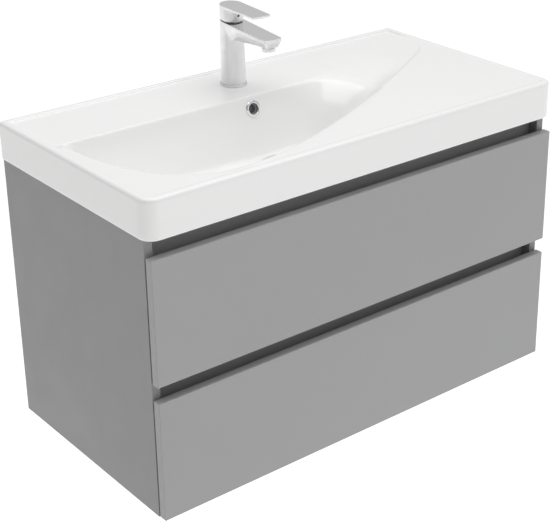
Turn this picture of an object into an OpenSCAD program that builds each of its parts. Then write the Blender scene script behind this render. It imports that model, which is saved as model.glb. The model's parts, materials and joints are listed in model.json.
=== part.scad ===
// Wall-hung bathroom vanity: two-drawer cabinet, ceramic basin with a leaf-shaped bowl, waste, bottle trap
// and single-lever mixer. Millimetres. X runs left to right, Y from the drawer fronts to the wall, Z up.
// The origin is the centre of the object's footprint, at the underside of the cabinet.

/* [Overall] */
// Width of the basin, the widest piece
basin_w = 900; // [780:10:1100]
// Depth from the wall to the drawer fronts
depth = 464; // [455:1:560]
// Height of the cabinet
cab_h = 504; // [495:1:620]
// How far the basin stands past the cabinet at each side
basin_overhang = 5; // [2:1:10]

/* [Carcass] */
// Thickness of the carcass boards
board = 16; // [15:1:19]
// Thickness of the drawer fronts
front_t = 16; // [14:1:22]
// Height of each finger gap above a drawer front
finger_gap = 29; // [24:1:34]
// How far the lower drawer front stops above the cabinet's underside
bottom_reveal = 2; // [1:1:4]
// Gap between the carcass edges and the backs of the drawer fronts
bumper_gap = 3; // [1:1:4]
// How far the rails behind the finger gaps are set back
recess_setback = 20; // [16:1:24]
// Height of the rails behind the finger gaps
recess_rail_h = 60; // [54:1:64]
// Height of the rear rails
rear_rail_h = 100; // [80:1:110]
// Clear space between the rear rails and the wall
service_gap = 12; // [11:1:16]

/* [Drawers] */
// Thickness of the drawer box boards
box_t = 12; // [10:1:14]
// Height of the drawer boxes
box_h = 150 + (cab_h - 504) / 2;
// Height of a drawer box above the lower edge of its front
box_lift = 22; // [20:1:26]
// Length of the drawer boxes behind the front
box_len = 400; // [340:1:408]
// Thickness of the drawer bottoms
bottom_t = 6; // [4:1:8]
// Depth of the groove that holds a drawer bottom
groove_d = 5; // [4:1:6]
// How far a drawer opens
drawer_travel = 380; // [300:1:380]
// Width of the notch around the trap in the upper drawer
notch_w = 200; // [160:1:260]
// Depth of the notch in front of the drain's centre
notch_front = 70; // [55:1:90]

/* [Runners] */
// Height of the runners' cabinet member
runner_h = 45; // [42:1:48]
// Sheet thickness of the runner members
runner_t = 1.2; // [1:0.1:1.5]
// Length of the runners
runner_len = 400; // [340:1:405]
// Diameter of the runner balls
ball_d = 3.1; // [2.8:0.1:3.2]

/* [Basin] */
// Height of the basin's apron
basin_h = 70; // [60:1:90]
// Wall thickness of the ceramic
ceramic_t = 12; // [9:1:14]
// Width of the raised rim
rim_w = 15; // [12:1:20]
// Height of the rim above the shelf
rim_step = 1.5; // [1:0.5:2]
// Height of the shelf above the rear deck
shelf_step = 2; // [2:0.5:3]
// Radius of the two front corners in plan
corner_r = 26; // [16:1:32]
// Depth of the bowl below the deck
bowl_depth = 106; // [90:1:112]
// Distance from the wall to the bowl's straight back edge
bowl_back = 164; // [155:1:175]
// Distance from the basin's side to the bowl's left end
bowl_margin = 32; // [28:1:40]

/* [Mixer] */
// Distance of the mixer's axis from the wall
tap_setback = 88; // [75:1:92]
// Diameter of the mixer's body at its foot
tap_d = 46; // [42:1:48]
// Height of the mixer's body at its axis
tap_h = 122; // [110:1:150]
// Reach of the spout's tip from the axis
spout_reach = 127; // [110:1:140]
// Reach of the lever's tip from the axis
lever_reach = 95; // [80:1:105]
// Largest lift of the lever, in degrees
lever_lift = 25; // [15:1:25]

/* [Waste] */
// Diameter of the waste hole in the bowl
waste_hole_d = 46; // [45:0.5:48]
// Outside diameter of the waste pipe
pipe_d = 32; // [30:1:34]
// Height of the trap's outlet above the cabinet's underside
outlet_z = 345 + (cab_h - 504);

/* [Hidden] */

// Colours
PAINT = "#9b9b9b";
MELAMINE = "#d9d8d4";
ZINC = "#b9bcbe";
CHROME = "#dfe1e3";
BRASS = "#c6a15b";
CERAMIC = "#f2f2f0";
PLASTIC_WHITE = "#e8e8e6";
PLASTIC_GREY = "#8d9093";
RUBBER = "#2b2b2b";

// Curve fineness
$fn = 64;
SMALL = 0.01;   // how far a cut runs past the face that it opens

// Carcass places
cab_w = basin_w - 2 * basin_overhang;
y_wall = depth / 2;
y_front = -depth / 2;
y_front_back = y_front + front_t;
y_carcass = y_front_back + bumper_gap;
carcass_d = y_wall - y_carcass;
x_side = cab_w / 2;
x_inner = x_side - board;
front_h = (cab_h - 2 * finger_gap - bottom_reveal) / 2;
front_z = [bottom_reveal + front_h + finger_gap, bottom_reveal];   // upper, lower
y_recess = y_carcass + recess_setback;
y_rear_rail = y_wall - service_gap - board;
rail_ends_z = [cab_h - recess_rail_h, front_z[0] - 3 - recess_rail_h];   // upper, middle

// Fasteners of the carcass
cam_r = 7.5;
cam_h = 12.5;
cam_clear = 0.1;
cam_inset = 24;

// Drawer places, each with the upper drawer first
runner_w = 12.7;
x_box = x_inner - runner_w;
x_box_in = x_box - box_t;
box_z = [front_z[0] + box_lift, front_z[1] + box_lift];
runner_rise = 40;
runner_z = [box_z[0] + runner_rise, box_z[1] + runner_rise];
y_box_back = y_front_back + box_len;
y_runner = y_carcass + 3;
groove_rise = 10;
groove_clear = 0.2;
screw_r = 2;
screw_clear = 0.05;
screw_head_r = 4;
screw_head_h = 2.4;
screw_bite = 11;

// Runner sections, measured from the carcass side towards the drawer
flange_clear = 0.15;
flange_z = [runner_h / 2 - runner_t,                                          // inside of the cabinet member
            runner_h / 2 - runner_t - ball_d - 2 * flange_clear,              // outside of the middle member
            runner_h / 2 - 2 * runner_t - ball_d - 2 * flange_clear,          // inside of the middle member
            runner_h / 2 - 2 * runner_t - 2 * ball_d - 4 * flange_clear];     // outside of the drawer member
cage_len = drawer_travel / 2;
cage_y = -(cage_len / 2) + drawer_travel / 8 - 60;
cage_t = 0.8;
cage_w = 6.4;
ball_pitch = 14;

// Basin levels
z_rim = cab_h + basin_h;
z_shelf = z_rim - rim_step;
z_deck = z_shelf - shelf_step;
basin_back_r = 8;
deck_t = ceramic_t + 2;
y_bowl = y_wall - bowl_back;
x_left = -basin_w / 2 + bowl_margin;
x_right = basin_w / 2 - 70;

// Places of the waste, the overflow and the mixer
waste_x = -30;
waste_y = -12;
z_floor = z_deck - bowl_depth;
waste_seat_r = 34;
z_seat = z_floor - 1;
z_boss = z_floor - ceramic_t - 4;
flange_t = 3;
overflow_depth = 21.5;
overflow_r = 12.2;
overflow_ring_r = 16;
tap_x = -13;
tap_y = y_wall - tap_setback;
tap_hole_r = 17.5;

// Shape of the bowl: slopes are fall over run
back_slope = 3.6;
overflow_tilt = atan(1 / back_slope);
back_slope_right = 0.1;
fade_x = waste_x + overflow_ring_r + 4;
fade_w = 210;
crest_slope = 1.5;
crest_slope_right = 0.75;
floor_fall = 0.03;
blend = 34;
columns = 36;
rows = 10;

// ---- Shared shapes ----

module box(x0, x1, y0, y1, z0, z1) {
    translate([x0, y0, z0]) cube([x1 - x0, y1 - y0, z1 - z0]);
}

module on_side(side) {   // side is -1 for left and 1 for right
    if (side < 0) mirror([1, 0, 0]) children();
    else children();
}

module along_y(r, h) {   // a cylinder that runs towards the wall
    rotate([-90, 0, 0]) cylinder(r = r, h = h);
}

// ---- Carcass ----

module side_panel(side) {
    color(PAINT) on_side(side) box(x_inner, x_side, y_carcass, y_wall, 0, cab_h);
}

module cam_places_bottom() {
    for (sx = [-1, 1], y = [y_carcass + 60, y_wall - 80])
        translate([sx * (x_inner - cam_inset), y, 0]) children();
}

module cam_places_rails() {   // recess rails are bored from behind, rear rails from the front
    for (sx = [-1, 1]) {
        for (z = rail_ends_z)
            translate([sx * (x_inner - cam_inset), y_recess + board, z + recess_rail_h / 2])
                rotate([90, 0, 0]) children();
        for (z = [board + rear_rail_h / 2, cab_h - rear_rail_h + 13])
            translate([sx * (x_inner - cam_inset), y_rear_rail, z]) rotate([-90, 0, 0]) children();
    }
}

module cam_bore() {
    translate([0, 0, -SMALL]) cylinder(r = cam_r, h = cam_h + SMALL);
}

module cam_lock() {
    difference() {
        cylinder(r = cam_r - cam_clear, h = cam_h - cam_clear);
        for (a = [0, 90]) rotate([0, 0, a]) box(-cam_r / 2, cam_r / 2, -0.6, 0.6, -SMALL, 1.5);
    }
}

module cam_locks() {
    color(ZINC) {
        cam_places_bottom() cam_lock();
        cam_places_rails() cam_lock();
    }
}

module bottom_panel() {
    color(PAINT) difference() {
        box(-x_inner, x_inner, y_carcass, y_wall, 0, board);
        cam_places_bottom() cam_bore();
    }
}

module recess_rail(i) {
    color(PAINT) difference() {
        box(-x_inner, x_inner, y_recess, y_recess + board, rail_ends_z[i], rail_ends_z[i] + recess_rail_h);
        cam_places_rails() cam_bore();
    }
}

module rear_rail_lower() {
    color(PAINT) difference() {
        box(-x_inner, x_inner, y_rear_rail, y_rear_rail + board, board, board + rear_rail_h);
        cam_places_rails() cam_bore();
    }
}

module rear_rail_upper() {
    color(PAINT) difference() {
        box(-x_inner, x_inner, y_rear_rail, y_rear_rail + board, cab_h - rear_rail_h, cab_h);
        cam_places_rails() cam_bore();
        for (side = [-1, 1]) on_side(side)
            box(x_inner - hanger_w - 2, x_inner + 1, y_rear_rail - 1, y_rear_rail + board + 1,
                hanger_z - 4, cab_h + 1);
    }
}

// ---- Wall hangers ----

hanger_w = 14;
hanger_h = 62;
hanger_d = 56;
hanger_z = cab_h - 8 - hanger_h;
hook_w = 6;
hook_z = hanger_z + 40;
lip_t = 4;
plate_t = 3;
plate_w = 50;
plate_h = 60;
plate_z = hanger_z + 4;
plate_hole_r = 3;
plate_hole_x = x_inner - 37;
plate_hole_spacing = 40;
channel_w = 21;
channel_t = 2.5;
channel_y = y_wall - plate_t - 1 - lip_t;
hanger_y = channel_y - channel_t - 0.5;

module hanger_housings() {
    color(PLASTIC_GREY) for (side = [-1, 1]) on_side(side) difference() {
        box(x_inner - hanger_w, x_inner, hanger_y - hanger_d, hanger_y, hanger_z, hanger_z + hanger_h);
        // slot for the hook, and the two adjusting screw mouths in the front
        box(x_inner - hanger_w / 2 - hook_w / 2 - 0.3, x_inner - hanger_w / 2 + hook_w / 2 + 0.3,
            y_wall - 34, y_wall, hook_z - 6, hook_z + 14);
        for (z = [hanger_z + 14, hanger_z + 30])
            translate([x_inner - hanger_w / 2, hanger_y - hanger_d - SMALL, z]) along_y(4, 10);
    }
}

module hanger_hooks() {
    x0 = x_inner - hanger_w / 2 - hook_w / 2;
    color(ZINC) for (side = [-1, 1]) on_side(side) {
        box(x0, x0 + hook_w, y_wall - 33, y_wall - plate_t - 0.5, hook_z, hook_z + 8);
        box(x0, x0 + hook_w, y_wall - plate_t - 0.5 - lip_t, y_wall - plate_t - 0.5, hook_z - 10, hook_z + 4);
    }
}

module wall_plates() {
    x1 = x_inner - 1;
    color(ZINC) for (side = [-1, 1]) on_side(side) difference() {
        union() {
            box(x1 - plate_w, x1, y_wall - plate_t, y_wall, plate_z, plate_z + plate_h);
            box(x1 - channel_w, x1, channel_y - channel_t, y_wall - 1, hook_z - 13.5, hook_z - 10.5);
            box(x1 - channel_w, x1, channel_y - channel_t, channel_y - 0.1, hook_z - 13.5, hook_z - 0.5);
        }
        for (i = [-0.5, 0.5])
            translate([plate_hole_x, y_wall - plate_t - 1, plate_z + plate_h / 2 + i * plate_hole_spacing])
                along_y(plate_hole_r, plate_t + 2);
    }
}

// ---- Runners; i is 0 for the upper drawer and 1 for the lower ----

module channel(x_web, x_open, half, t, i) {   // a C section lying along Y, open towards x_open
    toward = x_open > x_web ? 1 : -1;
    x0 = min(x_web, x_open);
    x1 = max(x_web, x_open);
    translate([0, 0, runner_z[i]]) {
        box(toward > 0 ? x_web : x_web - t, toward > 0 ? x_web + t : x_web,
            y_runner, y_runner + runner_len, -half, half);
        for (s = [-1, 1])
            box(x0, x1, y_runner, y_runner + runner_len, s > 0 ? half - t : -half, s > 0 ? half : -half + t);
    }
}

module runner_outer(side, i) {
    color(ZINC) on_side(side) channel(x_inner, x_inner - 9.5, runner_h / 2, runner_t, i);
}

module runner_middle_members(i) {
    color(ZINC) for (side = [-1, 1]) on_side(side) channel(x_inner - 2.6, x_inner - 10.4, flange_z[1], runner_t, i);
}

module runner_inner(side, i) {
    color(ZINC) on_side(side) channel(x_box, x_inner - 5.2, flange_z[3], runner_t, i);
}

module cage(x0, z) {
    mid = x0 - cage_w / 2;
    translate([0, cage_y, z]) {
        box(x0 - cage_w, x0, 0, cage_len, -cage_t / 2, cage_t / 2);
        for (y = [6 : ball_pitch : cage_len - 6]) translate([mid, y, 0]) sphere(d = ball_d, $fn = 24);
    }
}

module cages(x0, z, i) {
    color(ZINC) for (side = [-1, 1]) on_side(side)
        translate([0, 0, runner_z[i]]) for (s = [-1, 1]) cage(x0, s * z);
}

module runner_outer_cages(i) {
    cages(x_inner - 2.8, (flange_z[0] + flange_z[1]) / 2, i);
}

module runner_inner_cages(i) {
    cages(x_inner - 4.6, (flange_z[2] + flange_z[3]) / 2, i);
}

// ---- Drawers ----

module drawer_front(i) {
    color(PAINT) difference() {
        box(-x_side, x_side, y_front, y_front_back, front_z[i], front_z[i] + front_h);
        screw_places(i) screw_bore(screw_bite);
    }
}

module screw_places(i) {   // four screws from inside the box front into the drawer front
    for (sx = [-1, 1], z = [30, box_h - 30])
        translate([sx * (x_box_in - 60), y_front_back, box_z[i] + z]) children();
}

module screw_bore(reach) {
    translate([0, -reach, 0]) along_y(screw_r, reach + box_t + 1);
}

module drawer_screws(i) {
    color(ZINC) screw_places(i) difference() {
        union() {
            translate([0, -screw_bite + 0.5, 0]) along_y(screw_r - screw_clear, screw_bite - 0.5 + box_t);
            translate([0, box_t, 0]) along_y(screw_head_r, screw_head_h);
        }
        translate([0, box_t + screw_head_h - 1.4, 0]) rotate([-90, 0, 0]) cylinder(r = 1.9, h = 2, $fn = 6);
    }
}

module groove(x0, x1, y0, y1, i) {
    z = box_z[i] + groove_rise;
    box(x0, x1, y0, y1, z - groove_clear / 2, z + bottom_t + groove_clear / 2);
}

module drawer_side(side, i) {
    color(MELAMINE) on_side(side) difference() {
        box(x_box_in, x_box, y_front_back, y_box_back, box_z[i], box_z[i] + box_h);
        groove(x_box_in - 1, x_box_in + groove_d, y_front_back - 1, y_box_back + 1, i);
    }
}

module drawer_box_front(i) {
    color(MELAMINE) difference() {
        box(-x_box_in, x_box_in, y_front_back, y_front_back + box_t, box_z[i], box_z[i] + box_h);
        groove(-x_box_in - 1, x_box_in + 1, y_front_back + box_t - groove_d, y_front_back + box_t + 1, i);
        screw_places(i) screw_bore(1);
    }
}

y_notch = waste_y - notch_front;
notch_x = [waste_x - notch_w / 2, waste_x + notch_w / 2];

module drawer_back(i) {   // stands on the bottom; the upper one is a back with a U that goes round the trap
    z0 = box_z[i] + groove_rise + bottom_t;
    z1 = box_z[i] + box_h;
    color(MELAMINE) if (i == 1) {
        box(-x_box_in, x_box_in, y_box_back - box_t, y_box_back, z0, z1);
    } else difference() {
        union() {
            box(-x_box_in, x_box_in, y_box_back - box_t, y_box_back, z0, z1);
            box(notch_x[0] - box_t, notch_x[1] + box_t, y_notch - box_t, y_box_back, z0, z1);
        }
        box(notch_x[0], notch_x[1], y_notch, y_box_back + 1, z0 - 1, z1 + 1);
    }
}

module drawer_bottom(i) {
    z = box_z[i] + groove_rise;
    wide = x_box_in + groove_d - groove_clear;
    color(MELAMINE) difference() {
        box(-wide, wide, y_front_back + box_t - groove_d + groove_clear, y_box_back, z, z + bottom_t);
        if (i == 0) box(notch_x[0], notch_x[1], y_notch, y_box_back + 1, z - 1, z + bottom_t + 1);
    }
}

// ---- Basin ----

function bezier(p, t) =
    pow(1 - t, 3) * p[0] + 3 * pow(1 - t, 2) * t * p[1] + 3 * (1 - t) * t * t * p[2] + pow(t, 3) * p[3];
function smooth(s) = let (c = min(max(s, 0), 1)) c * c * (3 - 2 * c);
function mix(a, b, s) = a + (b - a) * s;
function soft_min(a, b, k) = min(a, b) - pow(max(k - abs(a - b), 0) / k, 2) * k / 4;

// The crest is the curved front edge of the bowl: down the left end, along the front, then up to the back right.
crest_low = [x_left + 173, y_front + 29];
crest_left = [[x_left, y_bowl - 12], [x_left + 2, y_bowl - 147], [x_left + 48, crest_low[1]], crest_low];
crest_right = [crest_low, [crest_low[0] + 128, crest_low[1]], [x_right - 254, y_bowl - 160], [x_right, y_bowl - 2]];
function crest(t) = t <= 1 ? bezier(crest_left, t) : bezier(crest_right, t - 1);

crest_line = [for (k = [0 : 40]) crest(k / 20)];

function to_segment(p, a, b) =
    let (ab = b - a, s = min(max(((p - a) * ab) / (ab * ab), 0), 1)) norm(p - a - s * ab);
function from_crest(p) = min([for (k = [0 : len(crest_line) - 2]) to_segment(p, crest_line[k], crest_line[k + 1])]);

function bowl_fall(p) =   // depth of the bowl's surface below the deck
    let (right = smooth((p[0] - fade_x) / fade_w),
         back = mix(back_slope, back_slope_right, right) * (y_bowl - p[1]),
         front = mix(crest_slope, crest_slope_right, smooth((p[0] + 60) / 400)) * from_crest(p),
         level = bowl_depth * (1 - smooth((p[0] - 60) / (x_right - 60)))
                 - floor_fall * norm(p - [waste_x, waste_y]))
    max(0, soft_min(soft_min(back, front, blend), level, blend));

function bowl_place(c, r) =   // r runs from the crest to the back edge, closer together at both
    let (t = 2 * c / columns, s = (1 - cos(180 * r / rows)) / 2) mix(crest(t), [crest(t)[0], y_bowl], s);
function bowl_point(c, r) =
    let (p = bowl_place(c, r), edge = r == 0 || r == rows || c == 0 || c == columns)
    [p[0], p[1], z_deck - (edge ? 0 : bowl_fall(p))];
function bowl_out(c, r) =   // the same point moved out through the ceramic
    let (p = bowl_point(c, r), q = [p[0], p[1]], e = 2,
         in = c == 0 ? [e, -e] : c == columns ? [-e, 0] : r == 0 ? [0, e] : r == rows ? [0, -e] : [0, 0],
         gx = (bowl_fall(q + in + [e, 0]) - bowl_fall(q + in - [e, 0])) / (2 * e),
         gy = (bowl_fall(q + in + [0, e]) - bowl_fall(q + in - [0, e])) / (2 * e))
    p - ceramic_t * [gx, gy, 1] / norm([gx, gy, 1]);

module bowl_solid(z_cap, out) {   // the space inside the bowl, or with out the same grown by the ceramic
    across = rows + 1;
    grid = [for (c = [0 : columns]) for (r = [0 : rows]) out ? bowl_out(c, r) : bowl_point(c, r)];
    ring = concat([for (c = [0 : columns]) c * across], [for (r = [1 : rows]) columns * across + r],
                  [for (c = [columns - 1 : -1 : 0]) c * across + rows], [for (r = [rows - 1 : -1 : 1]) r]);
    cap = [for (k = ring) [grid[k][0], grid[k][1], z_cap]];
    n = len(grid);
    m = len(ring);
    floor_faces = [for (c = [0 : columns - 1]) for (r = [0 : rows - 1])
        let (a = c * across + r) each [[a, a + across, a + across + 1], [a, a + across + 1, a + 1]]];
    wall_faces = [for (k = [0 : m - 1]) let (j = (k + 1) % m)
        each [[ring[k], n + k, n + j], [ring[k], n + j, ring[j]]]];
    polyhedron(concat(grid, cap), concat(floor_faces, wall_faces, [[for (k = [m - 1 : -1 : 0]) n + k]]));
}

module basin_outline(inset) {   // rounder in front than at the wall
    x = basin_w / 2 - inset;
    front = corner_r - inset;
    back = max(basin_back_r - inset, 2);
    for (s = [-1, 1]) {
        translate([s * (x - front), y_front + inset + front]) circle(front);
        translate([s * (x - back), y_wall - inset - back]) circle(back);
    }
    polygon([[-x + front, y_front + inset], [x - front, y_front + inset], [x, y_front + inset + front],
             [x, y_wall - inset - back], [x - back, y_wall - inset], [-x + back, y_wall - inset],
             [-x, y_wall - inset - back], [-x, y_front + inset + front]]);
}

module deck_outline() {   // the sunk area behind the crest, up to the rim
    x = basin_w / 2 - rim_w;
    y = y_wall - rim_w;
    hook = [crest(2), [x_right + 40, y_bowl + 22], [x - 2, y_bowl + 62], [x - 2, y_bowl + 108]];
    polygon(concat([for (k = [0 : 24]) crest(k / 12)], [for (k = [1 : 8]) bezier(hook, k / 8)],
                   [[x - 2, y], [-x, y], [-x, y_bowl], [x_left, y_bowl]]));
}

module overflow_axis() {   // moves its children to the overflow, with +Z pointing into the bowl
    translate([waste_x, y_bowl - overflow_depth / back_slope, z_deck - overflow_depth])
        rotate([90 - overflow_tilt, 0, 0]) children();
}

duct_w = 44;
duct_d = 20;
duct_wall = 5;
duct_floor = z_floor - ceramic_t + 2;

module basin() {
    color(CERAMIC) difference() {
        union() {
            difference() {
                translate([0, 0, cab_h]) linear_extrude(basin_h) basin_outline(0);
                translate([0, 0, cab_h - 1]) linear_extrude(z_deck - deck_t - cab_h + 1)
                    basin_outline(ceramic_t + 2);
                translate([0, 0, z_shelf]) linear_extrude(basin_h) basin_outline(rim_w);
                translate([0, 0, z_deck]) linear_extrude(basin_h) deck_outline();
            }
            bowl_solid(z_deck - 3, true);
            translate([waste_x, waste_y, z_boss]) cylinder(r = waste_seat_r + 4, h = z_floor - z_boss);
            // overflow duct behind the bowl
            box(waste_x - duct_w / 2, waste_x + duct_w / 2, y_bowl - 40, y_bowl + duct_d, duct_floor, z_deck - 4);
        }
        bowl_solid(z_rim + 10, false);
        translate([waste_x, waste_y, z_seat]) cylinder(r = waste_seat_r, h = 20);
        translate([waste_x, waste_y, z_boss - 1]) cylinder(d = waste_hole_d, h = 60);
        translate([tap_x, tap_y, cab_h]) cylinder(r = tap_hole_r, h = 2 * basin_h);
        overflow_axis() translate([0, 0, -26]) cylinder(r = overflow_r, h = 60);
        // the duct's own space, from the overflow down to the waste
        box(waste_x - duct_w / 2 + duct_wall, waste_x + duct_w / 2 - duct_wall,
            y_bowl - 2, y_bowl + duct_d - duct_wall, duct_floor + duct_wall, z_deck - deck_t);
    }
}

module overflow_ring() {
    color(CHROME) overflow_axis() rotate_extrude() polygon([
        [overflow_r - 2, -12], [overflow_r - 0.1, -12], [overflow_r - 0.1, 0.4], [overflow_ring_r, 0.4],
        [overflow_ring_r, 1.6], [overflow_ring_r - 2, 3], [overflow_r - 0.6, 3], [overflow_r - 2, 1.6]]);
}

// ---- Waste and trap ----

body_r = waste_hole_d / 2 - 2;
plug_travel = 8;
plug_r = 27;
z_waste_end = z_boss - 46;
nut_z = z_boss - 18;

module at_waste(z) {
    translate([waste_x, waste_y, z]) children();
}

module waste_body() {
    color(CHROME) at_waste(0) difference() {
        union() {
            translate([0, 0, z_seat]) cylinder(r = waste_seat_r - 1.5, h = flange_t);
            translate([0, 0, z_waste_end]) cylinder(r = body_r, h = z_seat - z_waste_end);
        }
        translate([0, 0, z_waste_end - 1]) cylinder(r = body_r - 2.5, h = 200);
        translate([0, 0, z_seat + 0.6]) cylinder(r1 = body_r - 2.5, r2 = plug_r + 1, h = flange_t);
    }
    // the cross that guides the plug's stem
    color(CHROME) at_waste(z_waste_end + 30) difference() {
        for (a = [0, 90]) rotate([0, 0, a]) box(-body_r + 1.5, body_r - 1.5, -1.2, 1.2, 0, 4);
        translate([0, 0, -1]) cylinder(r = 3.1, h = 6);
    }
    color(CHROME) at_waste(z_waste_end + 30) difference() {
        cylinder(r = 5, h = 4);
        translate([0, 0, -1]) cylinder(r = 3.1, h = 6);
    }
}

module waste_plug() {   // modelled pressed down, which is closed; it rises by plug_travel
    z = z_seat + flange_t + 1;
    color(CHROME) at_waste(0) {
        translate([0, 0, z]) rotate_extrude() polygon([
            [0, 0], [plug_r - 2, 0], [plug_r, 1], [plug_r, 2.2], [plug_r - 2, 3.4], [plug_r - 9, 4.4], [0, 4.8]]);
        translate([0, 0, z_waste_end + 20 - plug_travel]) cylinder(r = 3, h = z + plug_travel - z_waste_end - 20);
        translate([0, 0, z - 5]) cylinder(r1 = 5, r2 = 12, h = 5);
    }
}

module waste_gasket() {
    color(RUBBER) at_waste(z_boss - 4) difference() {
        cylinder(r = waste_seat_r + 2, h = 4);
        translate([0, 0, -1]) cylinder(r = body_r, h = 6);
    }
}

module waste_nut() {
    color(PLASTIC_GREY) at_waste(nut_z) difference() {
        cylinder(r = waste_seat_r, h = z_boss - 4 - nut_z, $fn = 8);
        translate([0, 0, -1]) cylinder(r = body_r, h = 20);
    }
}

bottle_r = 31;
bottle_top = outlet_z + 26;
bottle_bottom = outlet_z - 56;
dip_r = pipe_d / 2;
trap_nut_h = 18;

module trap_inlet_nut() {
    color(PLASTIC_WHITE) at_waste(z_waste_end - 4) difference() {
        cylinder(r = body_r + 6, h = trap_nut_h);
        translate([0, 0, 4]) cylinder(r = body_r, h = trap_nut_h);
        translate([0, 0, -1]) cylinder(r = dip_r, h = 6);
        for (a = [0 : 30 : 330]) rotate([0, 0, a]) translate([body_r + 7, 0, -1]) cylinder(r = 2, h = trap_nut_h + 2);
    }
}

module trap_bottle() {   // cup and head, with the dip tube that comes down from the waste
    color(PLASTIC_WHITE) at_waste(0) {
        difference() {
            union() {
                translate([0, 0, bottle_bottom]) rotate_extrude() polygon([
                    [0, 0], [bottle_r - 10, 0], [bottle_r - 2, 8], [bottle_r, 20], [bottle_r, 60],
                    [bottle_r + 3, 60], [bottle_r + 3, 74], [bottle_r, 74], [bottle_r, 78],
                    [dip_r + 4, bottle_top - bottle_bottom], [0, bottle_top - bottle_bottom]]);
                translate([0, 0, outlet_z]) along_y(pipe_d / 2 + 5, bottle_r + 16);
            }
            translate([0, 0, bottle_bottom]) rotate_extrude() polygon([
                [0, 3], [bottle_r - 11, 3], [bottle_r - 5, 10], [bottle_r - 3, 20], [bottle_r - 3, 76],
                [dip_r + 1, bottle_top - bottle_bottom - 4], [0, bottle_top - bottle_bottom - 4]]);
            translate([0, 0, bottle_top - 10]) cylinder(r = dip_r, h = 20);
            translate([0, 0, outlet_z]) along_y(pipe_d / 2, bottle_r + 30);
        }
        difference() {
            translate([0, 0, bottle_bottom + 22]) cylinder(r = dip_r, h = z_waste_end - bottle_bottom - 22);
            translate([0, 0, bottle_bottom]) cylinder(r = dip_r - 2, h = 200);
        }
    }
}

module trap_outlet_pipe() {
    y0 = bottle_r - 1;
    color(PLASTIC_WHITE) at_waste(outlet_z) difference() {
        translate([0, y0, 0]) along_y(pipe_d / 2, y_wall - waste_y - y0);
        translate([0, y0 - 1, 0]) along_y(pipe_d / 2 - 1.8, y_wall - waste_y - y0 + 2);
        // shallow groove that marks how far the pipe goes in
        translate([0, bottle_r + 24, 0]) difference() {
            along_y(pipe_d / 2 + 1, 3);
            translate([0, -1, 0]) along_y(pipe_d / 2 - 0.4, 5);
        }
    }
}

// ---- Mixer; heights are above the deck ----

ring_h = 4;
tap_top_r = tap_d / 2 - 1.5;
top_tilt = 4.2;
spout_t = 17.5;
spout_w = 38;
aerator_reach = spout_reach - 17;
aerator_r = 12;
cartridge_r = 17.4;
pivot_h = tap_h + 2;
dome_r = 19.4;
hub_base = tap_h + 3;
hub_dip = 2.8;
lever_top = tap_h + 30;
lever_tip_t = 4;
lever_tilt = 2.2;
lever_w = 38;
hub_gap = 0.5;
pin_r = 1.5;
pin_clear = 0.05;
inlet_r = 4.6;
inlet_x = 7.5;
inlet_y = 6;
inlet_len = 14;
tail_r = 6.3;
tail_bore_r = 4.2;
core_r = 18;
core_top = tap_h - 48;
boss_wall = 3;
stud_r = 4;
stud_y = -9;
fixing_z = deck_t + 3;

module at_tap(z) {
    translate([tap_x, tap_y, z_deck + z]) children();
}

module tongue(r, w, reach) {   // a plan with a round back that narrows to w at its tip
    circle(r);
    polygon([[-r, 0], [-w / 2, -reach + 6], [-w / 2 + 5, -reach + 1.2], [-w / 4, -reach], [w / 4, -reach],
             [w / 2 - 5, -reach + 1.2], [w / 2, -reach + 6], [r, 0]]);
}

module side_profile(points, half) {   // points are [y, z] pairs; the solid reaches half to each side
    translate([-half, 0, 0]) rotate([90, 0, 90]) linear_extrude(2 * half) polygon(points);
}

module tap_base_ring() {
    color(CHROME) at_tap(0) difference() {
        rotate_extrude() polygon([
            [tap_hole_r - 2, 0], [tap_d / 2 + 2.4, 0], [tap_d / 2 + 2.4, ring_h - 1.2],
            [tap_d / 2 + 1.2, ring_h], [tap_hole_r - 2, ring_h]]);
    }
}

module tap_body() {
    fall = tan(top_tilt);
    color(CHROME) at_tap(0) difference() {
        union() {
            intersection() {
                translate([0, 0, ring_h]) cylinder(r1 = tap_d / 2, r2 = tap_top_r, h = tap_h - ring_h + 4);
                side_profile([[-40, 0], [40, 0], [40, tap_h + 40 * fall], [-40, tap_h - 40 * fall]], 40);
            }
            intersection() {
                linear_extrude(2 * tap_h) tongue(tap_top_r, spout_w, spout_reach);
                side_profile([[0, tap_h], [0, tap_h - 26], [-tap_top_r - 3, tap_h - spout_t - 3],
                              [-spout_reach + 5, tap_h - spout_t - (spout_reach - 5) * fall],
                              [-spout_reach - 1, tap_h - 5 - spout_reach * fall],
                              [-spout_reach - 1, tap_h - (spout_reach + 1) * fall]], 40);
                // the spout's lower edges lean inwards
                translate([0, 0, tap_h]) rotate([90 + top_tilt, 0, 0]) translate([0, 0, -2]) linear_extrude(200)
                    polygon([[-26, 6], [26, 6], [26, -4], [13, -spout_t - 6], [-13, -spout_t - 6], [-26, -4]]);
            }
        }
        translate([0, 0, tap_h - 42]) cylinder(r = cartridge_r + 0.1, h = 80);
        translate([0, 0, tap_h - 7]) cylinder(r = dome_r + 0.1, h = 40);
        // waterway from the cartridge to the aerator's seat
        translate([0, -cartridge_r + 4, tap_h - 12]) rotate([90 + top_tilt, 0, 0])
            cylinder(r = 4.5, h = aerator_reach - cartridge_r);
        translate([0, -aerator_reach, tap_h - aerator_reach * fall - spout_t - 2]) cylinder(r = aerator_r - 1.5, h = 12);
        // hollow column, with a boss for the fixing stud
        difference() {
            cylinder(r = core_r, h = core_top);
            translate([0, stud_y, -1]) cylinder(r = stud_r + boss_wall, h = tap_h);
        }
        for (s = [-1, 1]) translate([s * inlet_x, inlet_y, core_top - 1]) cylinder(r = tail_bore_r, h = 10);
        translate([0, stud_y, 0]) cylinder(r = stud_r, h = ring_h + 14);
    }
}

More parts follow.
